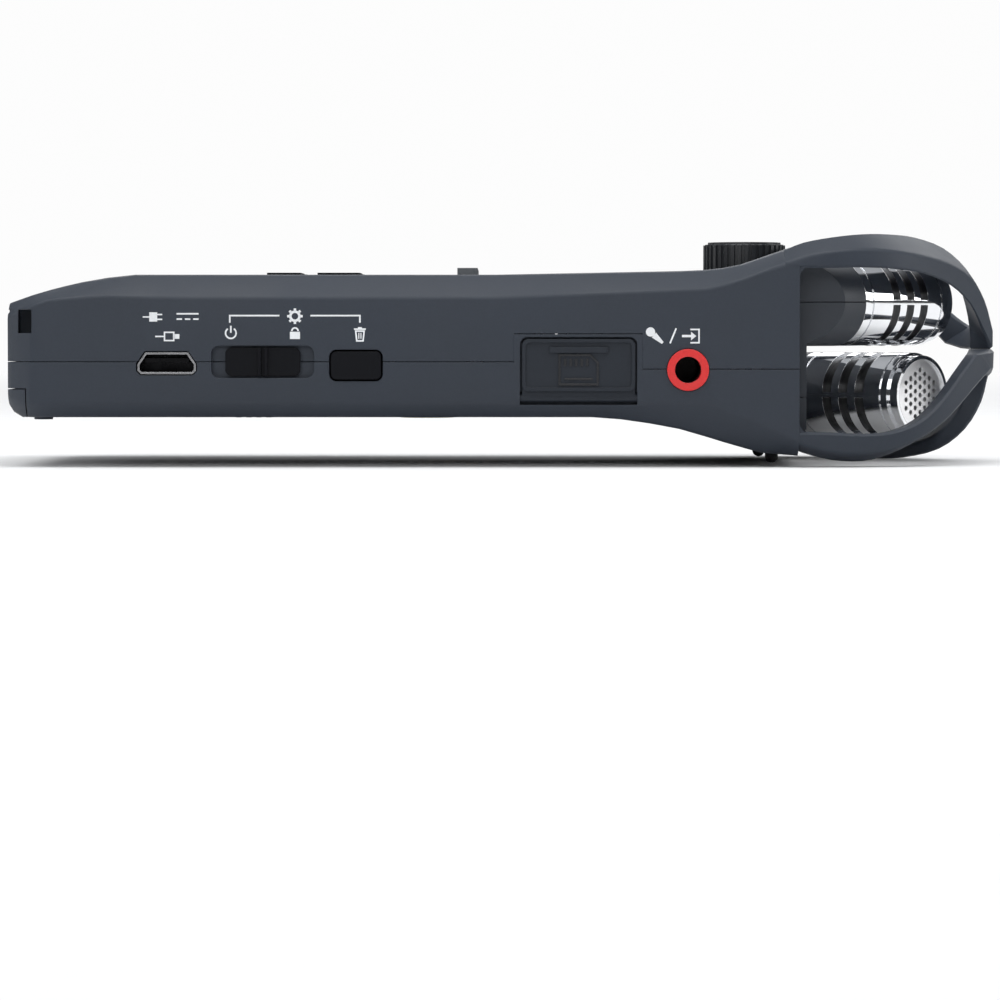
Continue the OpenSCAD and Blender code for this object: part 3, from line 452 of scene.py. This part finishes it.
# Print on the two sides, each mark at its place along and above the casing
bracket = (line([(30.74, 19.72), (30.74, 20.68), (37.5, 20.68)], W)
           + line([(41.7, 20.68), (48.44, 20.68), (48.44, 19.72)], W))
near_marks = [(dc_mark, 25.0, 20.5, 1.0), (plug_mark, 20.6, 20.5, 0.9), (lead_mark, 22.3, 17.85, 0.9),
              (cog_mark(), 39.6, 20.6, 1.0), (power_mark, 30.88, 18.3, 1.0), (lock_mark, 39.6, 18.3, 0.95),
              (bin_mark, 48.44, 18.15, 0.95), (mic_mark, 88.6, 17.9, 0.88), (slash_mark, 91.05, 17.9, 1.0),
              (in_mark, 93.3, 17.9, 0.95)]
far_marks = [(mirrored(phones_mark), 98.95, 18.7, 1.0), (slash_mark, 96.3, 18.6, 1.0),
             (mirrored(out_mark), 94.2, 18.6, 1.0), (mirrored(sound_mark), 75.94, 20.3, 1.0)]
near_side = bracket + [f for mark, x, z, k in near_marks for f in moved(mark, x, z, k)]
far_side = [f for mark, x, z, k in far_marks for f in moved(mark, x, z, k)]
SIDE_Y = 25.0  # mm from the middle to the flat of either side
SUNK, PROUD = 0.005, 0.015  # mm: how far the print goes in and stands off
for side, marks in (("input", near_side), ("output", far_side)):
    printed(f"{side}_side_print", marks, side, SIDE_Y - SUNK, SIDE_Y + PROUD, white_print, "recorder")

card_mark = line([(-2.6, -2.0), (2.6, -2.0), (2.6, 1.0), (1.6, 2.0), (-2.6, 2.0)], 0.3, True)
for i in range(5):
    card_mark += box2(-2.0 + i * 0.75, -1.65 + i * 0.75, 0.5, 1.5)
card_mark += box2(-1.9, 1.9, -1.4, -1.1)
printed("card_flap_mark", moved(card_mark, 78.2, 13.3), "input", SIDE_Y - 0.02, SIDE_Y + 0.16, mark_plastic,
        "card_flap")


def top_print(name, faces, height, body, mat=white_print):
    """A mark lying on a face that looks up, at the given height in mm."""
    printed(name, faces, "top", height - 0.01, height + 0.015, mat, body)


# Marks on the keys, for a reader at the input side
KEY_TOP, MENU_TOP = 26.65, 27.3  # mm up: the keys' top faces
RECORD_DISH = 26.0  # mm up: where the record key's red spot starts
KEY_ROWS, KEY_Y = (37.55, 45.15), 9.0
triangle = [[(-0.75, -0.9), (0.85, 0), (-0.75, 0.9)]]
double = moved(triangle, -0.75, 0) + moved(triangle, 0.85, 0)
key_marks = {
    "stop": moved(box2(-0.75, 0.75, -0.75, 0.75), KEY_ROWS[1], -KEY_Y),
    "play": moved(triangle, KEY_ROWS[1], KEY_Y, 1.1) + box2(46.35, 46.7, KEY_Y - 0.9, KEY_Y + 0.9),
    "rewind": moved(mirrored(double), KEY_ROWS[0], -KEY_Y, 0.9),
    "forward": moved(double, KEY_ROWS[0], KEY_Y, 0.9),
}
for key, mark in key_marks.items():
    top_print(f"{key}_key_print", mark, KEY_TOP, f"{key}_key")
printed("record_key_print", [circle(54.7, 0, 1.35, n=32)], "top", RECORD_DISH, RECORD_DISH + 0.13,
        red_print, "record_key")
menu_marks = [line(circle(0, 0, 0.55, n=20), 0.2, True), box2(-0.12, 0.12, -1.2, 1.2),
              box2(-0.6, 0.6, -0.6, 0.6), [circle(0, 0, 0.5, n=20)]]
for key, y, mark in zip("abcd", (-12.9, -4.3, 4.3, 12.9), menu_marks):
    top_print(f"menu_key_{key}_print", moved(mark, 63, y), MENU_TOP, f"menu_key_{key}")

# Numbers on the dial's top, as plain strokes in a unit box 0.6 wide and 1 high
DIGITS = {
    "0": [(0.0, 0.2), (0.15, 0.0), (0.45, 0.0), (0.6, 0.2), (0.6, 0.8), (0.45, 1.0), (0.15, 1.0), (0.0, 0.8),
          (0.0, 0.2)],
    "1": [(0.12, 0.78), (0.34, 1.0), (0.34, 0.0)],
    "2": [(0.02, 0.78), (0.18, 1.0), (0.44, 1.0), (0.6, 0.8), (0.58, 0.6), (0.02, 0.0), (0.62, 0.0)],
    "4": [(0.46, 0.0), (0.46, 1.0), (0.0, 0.3), (0.64, 0.3)],
    "6": [(0.5, 1.0), (0.16, 0.66), (0.02, 0.3), (0.16, 0.0), (0.46, 0.0), (0.6, 0.2), (0.58, 0.44),
          (0.42, 0.58), (0.12, 0.52)],
    "8": [(0.3, 0.54), (0.08, 0.66), (0.1, 0.92), (0.3, 1.0), (0.5, 0.92), (0.52, 0.66), (0.3, 0.54),
          (0.56, 0.38), (0.56, 0.1), (0.3, 0.0), (0.04, 0.1), (0.04, 0.38), (0.3, 0.54)],
}


def number(text, size, width):
    """The text's digits in a row about their own middle, size mm high in strokes width mm wide."""
    faces = []
    start = -0.42 * (len(text) - 1) - 0.3
    for i, c in enumerate(text):
        faces += moved(line(DIGITS[c], width / size), start + i * 0.84, -0.5)
    return moved(faces, 0, 0, size)


DIAL_X, DIAL_TOP = 102.2, 31.1
NUMBER_RING, NUMBER_HIGH, NUMBER_STROKE = 4.5, 0.85, 0.13
dial_print = []
for i, text in enumerate(("0", "2", "4", "6", "8", "10")):
    turn = 30 + i * 60
    dx, dy = NUMBER_RING * math.cos(math.radians(turn)), NUMBER_RING * math.sin(math.radians(turn))
    dial_print += moved(number(text, NUMBER_HIGH, NUMBER_STROKE), dx, dy, 1.0, turn - 90)
top_print("dial_print", moved(dial_print, DIAL_X, 0), DIAL_TOP, "dial")
pointer = moved(box2(3.3, 5.0, -0.18, 0.18), DIAL_X, 0)
printed("dial_pointer", pointer, "top", DIAL_TOP - 0.31, DIAL_TOP - 0.27, white_print, "dial")

# Black border just inside the window's underside, and what the display shows
outer, inner = (67.1, 93.9, -17.7, 17.7), (71.2, 89.8, -13.0, 13.0)
border = (box2(outer[0], inner[0], outer[2], outer[3]) + box2(inner[1], outer[1], outer[2], outer[3])
          + box2(inner[0], inner[1], outer[2], inner[2]) + box2(inner[0], inner[1], inner[3], outer[3]))
WINDOW_UNDER = 25.2  # mm up
printed("window_border", border, "top", WINDOW_UNDER + 0.02, WINDOW_UNDER + 0.05, black_print, "recorder")

# A digit's lit segments, and each segment's left, right, bottom and top in a box 1 wide and 2 high
SEGMENTS = {"0": "abcdef", "1": "bc", "2": "abged", "3": "abgcd", "4": "fgbc", "5": "afgcd"}
PARTS = {"a": (0.12, 0.88, 1.86, 2.0), "g": (0.12, 0.88, 0.93, 1.07), "d": (0.12, 0.88, 0.0, 0.14),
         "f": (0.0, 0.14, 1.08, 1.86), "b": (0.86, 1.0, 1.08, 1.86), "e": (0.0, 0.14, 0.14, 0.92),
         "c": (0.86, 1.0, 0.14, 0.92)}


def shown_time(text, size):
    """Digits in segments with colons between them, centred, 2 x size mm high."""
    faces, x = [], 0.0
    for c in text:
        if c == ":":
            faces += box2(x, x + 0.18, 0.5, 0.68) + box2(x, x + 0.18, 1.32, 1.5)
            x += 0.45
        else:
            for p in SEGMENTS[c]:
                faces += box2(x + PARTS[p][0], x + PARTS[p][1], PARTS[p][2], PARTS[p][3])
            x += 1.35
    return moved(faces, -x * size / 2 + 0.1, -size, size)


# The display reads from the input side too: its text runs along +X
BAR_X, BAR_STEP, BAR_WIDE, BAR_HIGH = 73.2, 1.34, 0.9, 1.5
display = moved(shown_time("00:12:45", 1.75), 80.5, 3.0)
for row, reach in ((-5.2, 11), (-8.2, 9)):
    for i in range(reach):
        left = BAR_X + i * BAR_STEP
        display += box2(left, left + BAR_WIDE, row, row + BAR_HIGH)
charge_mark = (line([(-1.6, -0.8), (1.6, -0.8), (1.6, 0.8), (-1.6, 0.8)], 0.2, True)
               + box2(-1.3, 0.6, -0.5, 0.5) + box2(1.7, 2.0, -0.4, 0.4))
display += moved(charge_mark, 86.6, 10.4)
display += moved(triangle, 73.9, 10.4)
FILM_TOP = 24.0  # mm up: the display film
printed("display_segments", display, "top", FILM_TOP - 0.01, FILM_TOP + 0.02, black_print, "recorder")

# ------------------------------------------------------------ light and floor
FADE_NEAR, FADE_FAR = 0.3, 1.1  # metres from the middle, where the floor starts and ends its fade
FLOOR_HALF = 4.0  # metres
FLOOR_GAP = 0.00002  # metres between the floor and the lowest point


def stage_material(name, emission):
    """Pale matt floor that fades into the pale background away from the object."""
    g = Graph(name)
    away = g.add("ShaderNodeVectorMath", {0: g.place}, operation="LENGTH").outputs["Value"]
    speck = g.noise(9.0, 4.0, 0.6)
    tone = g.blend(g.spread(speck, 0.3, 0.7, 0.0, 1.0), (0.80, 0.80, 0.80), (0.83, 0.83, 0.83))
    matt = g.add("ShaderNodeBsdfDiffuse", {"Color": tone, "Normal": g.bump(g.noise(1.2), 0.02)})
    glow = g.add("ShaderNodeEmission", {"Color": (1, 1, 1, 1), "Strength": emission})
    mix = g.add("ShaderNodeMixShader", {0: g.spread(away, FADE_NEAR, FADE_FAR, 0.0, 1.0),
                                        1: matt.outputs[0], 2: glow.outputs[0]})
    g.tree.links.new(mix.outputs[0], g.out.inputs["Surface"])
    return g.mat


bm = bmesh.new()
bmesh.ops.create_grid(bm, x_segments=24, y_segments=24, size=FLOOR_HALF)
floor_mesh = bpy.data.meshes.new("floor")
bm.to_mesh(floor_mesh)
bm.free()
floor_mesh.materials.append(stage_material("pale_floor", 0.98))
floor = bpy.data.objects.new("floor", floor_mesh)
floor.location.z = cad_box[0].z - FLOOR_GAP
scene.collection.objects.link(floor)

# The camera sees an even pale background. Every other ray sees a room that is dim level with the
# object and brighter towards straight up and straight down.
world = bpy.data.worlds.new("studio")
world.use_nodes = True
wt = world.node_tree
wt.nodes.clear()
seen = wt.nodes.new("ShaderNodeBackground")
seen.inputs["Color"].default_value = (0.98, 0.98, 0.98, 1)
room = wt.nodes.new("ShaderNodeBackground")
room.inputs["Color"].default_value = (0.93, 0.96, 1.0, 1)
way = wt.nodes.new("ShaderNodeTexCoord")
height = wt.nodes.new("ShaderNodeSeparateXYZ")
steepness = wt.nodes.new("ShaderNodeMath")
steepness.operation = "ABSOLUTE"
rise = wt.nodes.new("ShaderNodeMapRange")
for socket, value in {"From Min": 0.15, "From Max": 0.8, "To Min": 0.07, "To Max": 0.5}.items():
    rise.inputs[socket].default_value = value
path = wt.nodes.new("ShaderNodeLightPath")
either = wt.nodes.new("ShaderNodeMixShader")
world_out = wt.nodes.new("ShaderNodeOutputWorld")
wt.links.new(way.outputs["Generated"], height.inputs[0])
wt.links.new(height.outputs["Z"], steepness.inputs[0])
wt.links.new(steepness.outputs[0], rise.inputs["Value"])
wt.links.new(rise.outputs["Result"], room.inputs["Strength"])
wt.links.new(path.outputs["Is Camera Ray"], either.inputs[0])
wt.links.new(room.outputs[0], either.inputs[1])
wt.links.new(seen.outputs[0], either.inputs[2])
wt.links.new(either.outputs[0], world_out.inputs["Surface"])
scene.world = world


def softbox(name, place, aim, size, watts):
    """A rectangular white light at a place, turned to face its aim. Sizes are in metres."""
    light = bpy.data.lights.new(name, "AREA")
    light.shape = "RECTANGLE"
    light.size, light.size_y = size
    light.energy = watts
    o = bpy.data.objects.new(name, light)
    o.location = place
    o.rotation_euler = (Vector(aim) - Vector(place)).to_track_quat("-Z", "Y").to_euler()
    scene.collection.objects.link(o)


softbox("top_box", (0.0, -0.12, 0.75), (0, 0, 0.01), (1.1, 0.55), 6.0)
softbox("front_box", (-0.25, -1.15, 0.55), (0, 0, 0.01), (1.1, 0.5), 4.4)
softbox("back_box", (0.25, 1.15, 0.55), (0, 0, 0.01), (1.1, 0.5), 4.4)
softbox("head_box", (0.8, 0.0, 0.24), (0.05, 0, 0.015), (0.4, 0.34), 1.4)
softbox("butt_strip", (-0.9, 0.1, 0.35), (0, 0, 0.015), (0.3, 0.5), 1.2)

# -------------------------------------------------------------------- camera
# The photo's upper view looks almost level at the input side. Angles are in degrees. DROP tips the
# view down, so that the object stands in the upper half of the picture. REACH is in metres, LENS in mm.
ELEVATION = 0.3
DROP = 2.14
REACH = 0.575
LENS = 145.4
camera = bpy.data.cameras.new("camera")
camera.sensor_width = 36.0
camera.lens = LENS
camera.clip_start = 0.02
shot = bpy.data.objects.new("camera", camera)
aim = Vector((-1.25 * MM, 0.0, 16 * MM))
rise_angle = math.radians(ELEVATION)
shot.location = aim + Vector((0.0, -REACH * math.cos(rise_angle), REACH * math.sin(rise_angle)))
shot.rotation_euler = (math.radians(90 - ELEVATION - DROP), 0.0, 0.0)
scene.collection.objects.link(shot)
scene.camera = shot
scene.view_settings.view_transform = "Standard"

bpy.context.view_layer.update()
